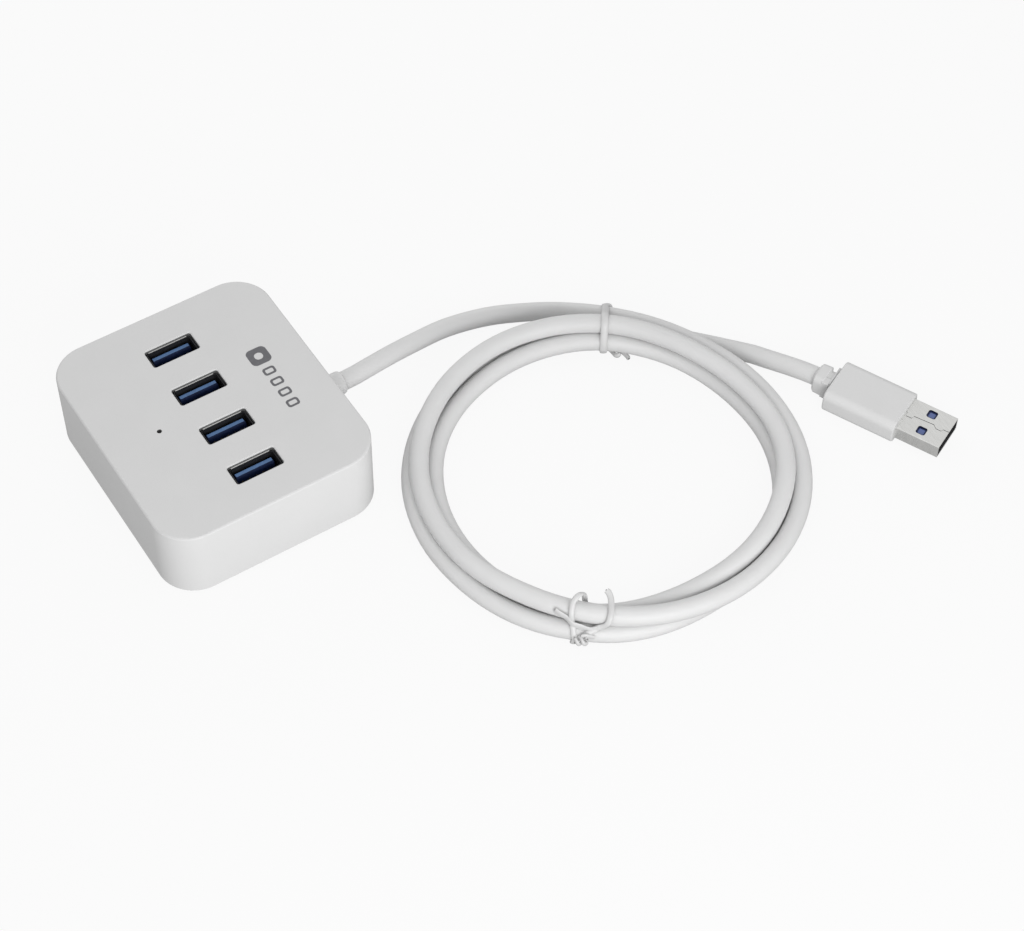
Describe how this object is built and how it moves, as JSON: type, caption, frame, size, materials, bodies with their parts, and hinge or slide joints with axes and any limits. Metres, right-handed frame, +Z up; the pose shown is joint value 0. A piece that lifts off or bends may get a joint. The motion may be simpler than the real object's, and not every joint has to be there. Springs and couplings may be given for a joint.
{
  "type": "usb hub",
  "caption": "Desk USB hub with upright USB-A ports in the top of a rounded white case, a fixed cable wound into a tied coil, and a USB-A plug.",
  "frame": {"origin": "bottom centre of the case, on the plane that the rubber feet stand on", "axes": "+X along the row of ports, +Y out of the side that the cable leaves, +Z up out of the top face"},
  "size_m": [0.1517, 0.2051, 0.023],
  "materials": {
    "case_white": "fine satin moulding",
    "plug_white": "smooth satin moulding",
    "cable_jacket": "soft satin cable jacket",
    "tie_white": "plastic coated wire",
    "nickel_steel": "nickel plated sheet",
    "port_blue": "moulded nylon",
    "screw_steel": "zinc plated",
    "foot_rubber": "matt rubber",
    "board_green": "solder mask",
    "chip_black": "moulded epoxy",
    "can_metal": "drawn can",
    "clear_plastic": "clear moulding",
    "header_ivory": "moulded nylon",
    "wire_red": "wire insulation",
    "wire_white": "wire insulation",
    "wire_green": "wire insulation",
    "wire_black": "wire insulation"
  },
  "bodies": {
    "root": {"bottom_cover": "case_white", "cable_coil": "cable_jacket", "cable_header": "header_ivory", "cable_hub_lead": "cable_jacket", "cable_plug_lead": "cable_jacket", "cable_tail": "cable_jacket", "capacitor_1": "can_metal", "capacitor_2": "can_metal", "case_screw_1": "screw_steel", "case_screw_2": "screw_steel", "case_screw_3": "screw_steel", "case_screw_4": "screw_steel", "crystal": "can_metal", "foot_1": "foot_rubber", "foot_2": "foot_rubber", "foot_3": "foot_rubber", "foot_4": "foot_rubber", "hub_controller_chip": "chip_black", "hub_strain_relief": "cable_jacket", "light_pipe": "clear_plastic", "main_board": "board_green", "plug_insulator": "port_blue", "plug_neck": "cable_jacket", "plug_overmould": "plug_white", "plug_shell": "nickel_steel", "socket_insulator_1": "port_blue", "socket_insulator_2": "port_blue", "socket_insulator_3": "port_blue", "socket_insulator_4": "port_blue", "socket_shell_1": "nickel_steel", "socket_shell_2": "nickel_steel", "socket_shell_3": "nickel_steel", "socket_shell_4": "nickel_steel", "status_led": "clear_plastic", "top_cover": "case_white", "twist_tie_1": "tie_white", "twist_tie_2": "tie_white", "voltage_regulator": "chip_black", "wire_black": "wire_black", "wire_green": "wire_green", "wire_red": "wire_red", "wire_white": "wire_white"}
  },
  "joints": []
}
